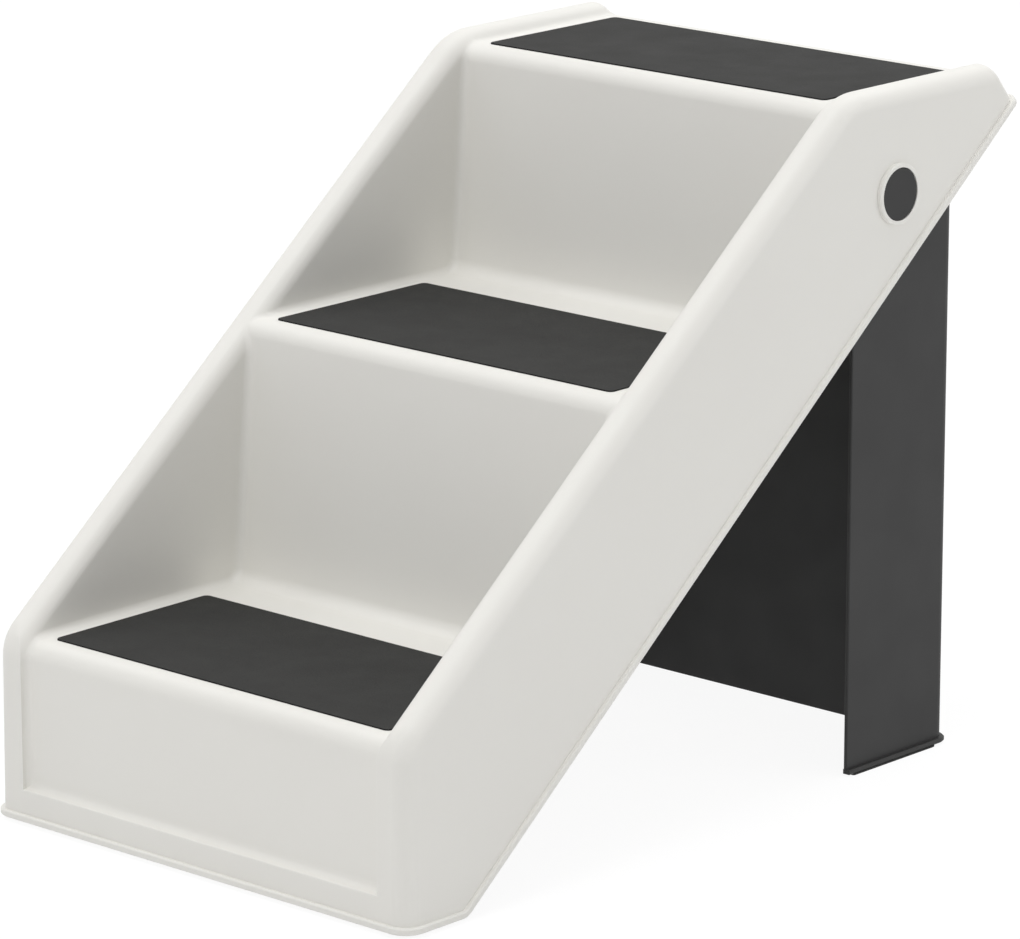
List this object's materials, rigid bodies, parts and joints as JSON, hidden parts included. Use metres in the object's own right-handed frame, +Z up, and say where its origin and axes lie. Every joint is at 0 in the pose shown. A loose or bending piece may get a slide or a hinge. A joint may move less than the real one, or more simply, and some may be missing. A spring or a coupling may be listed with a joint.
{
  "type": "pet stairs",
  "caption": "Moulded pet steps between rounded side stringers, with dark anti-slip tread mats and a U-shaped support leg that folds up under the slope.",
  "frame": {"origin": "centre of the footprint, on the floor", "axes": "+Z up; the steps face -Y and climb towards +Y; X runs across the treads"},
  "size_m": [0.4, 0.6446, 0.4985],
  "materials": {
    "shell_plastic": "warm off-white moulded polypropylene, satin",
    "mat_rubber": "charcoal anti-slip rubber mat, fine matt grain",
    "leg_plastic": "charcoal moulded polypropylene, matt",
    "hub_plastic": "charcoal moulded nylon, matt",
    "spacer_plastic": "natural acetal ring",
    "washer_steel": "zinc-plated steel",
    "screw_steel": "zinc-plated steel",
    "foot_rubber": "black rubber"
  },
  "bodies": {
    "stairs": {"stair_shell": "shell_plastic", "tread_mat_lower": "mat_rubber", "tread_mat_middle": "mat_rubber", "tread_mat_upper": "mat_rubber", "front_foot_right": "foot_rubber", "front_foot_left": "foot_rubber"},
    "leg": {"support_leg": "leg_plastic", "pivot_hub_right": "hub_plastic", "pivot_hub_left": "hub_plastic", "pivot_spacer_right": "spacer_plastic", "pivot_spacer_left": "spacer_plastic", "hub_washers": "washer_steel", "hub_screws": "screw_steel", "leg_foot_right": "foot_rubber", "leg_foot_left": "foot_rubber"}
  },
  "joints": [
    {"name": "leg_fold", "type": "hinge", "parent": "stairs", "child": "leg", "pos_m": [0, 0.18718, 0.42298], "axis": [-1, 0, 0], "range_deg": [0, 51.35]}
  ]
}
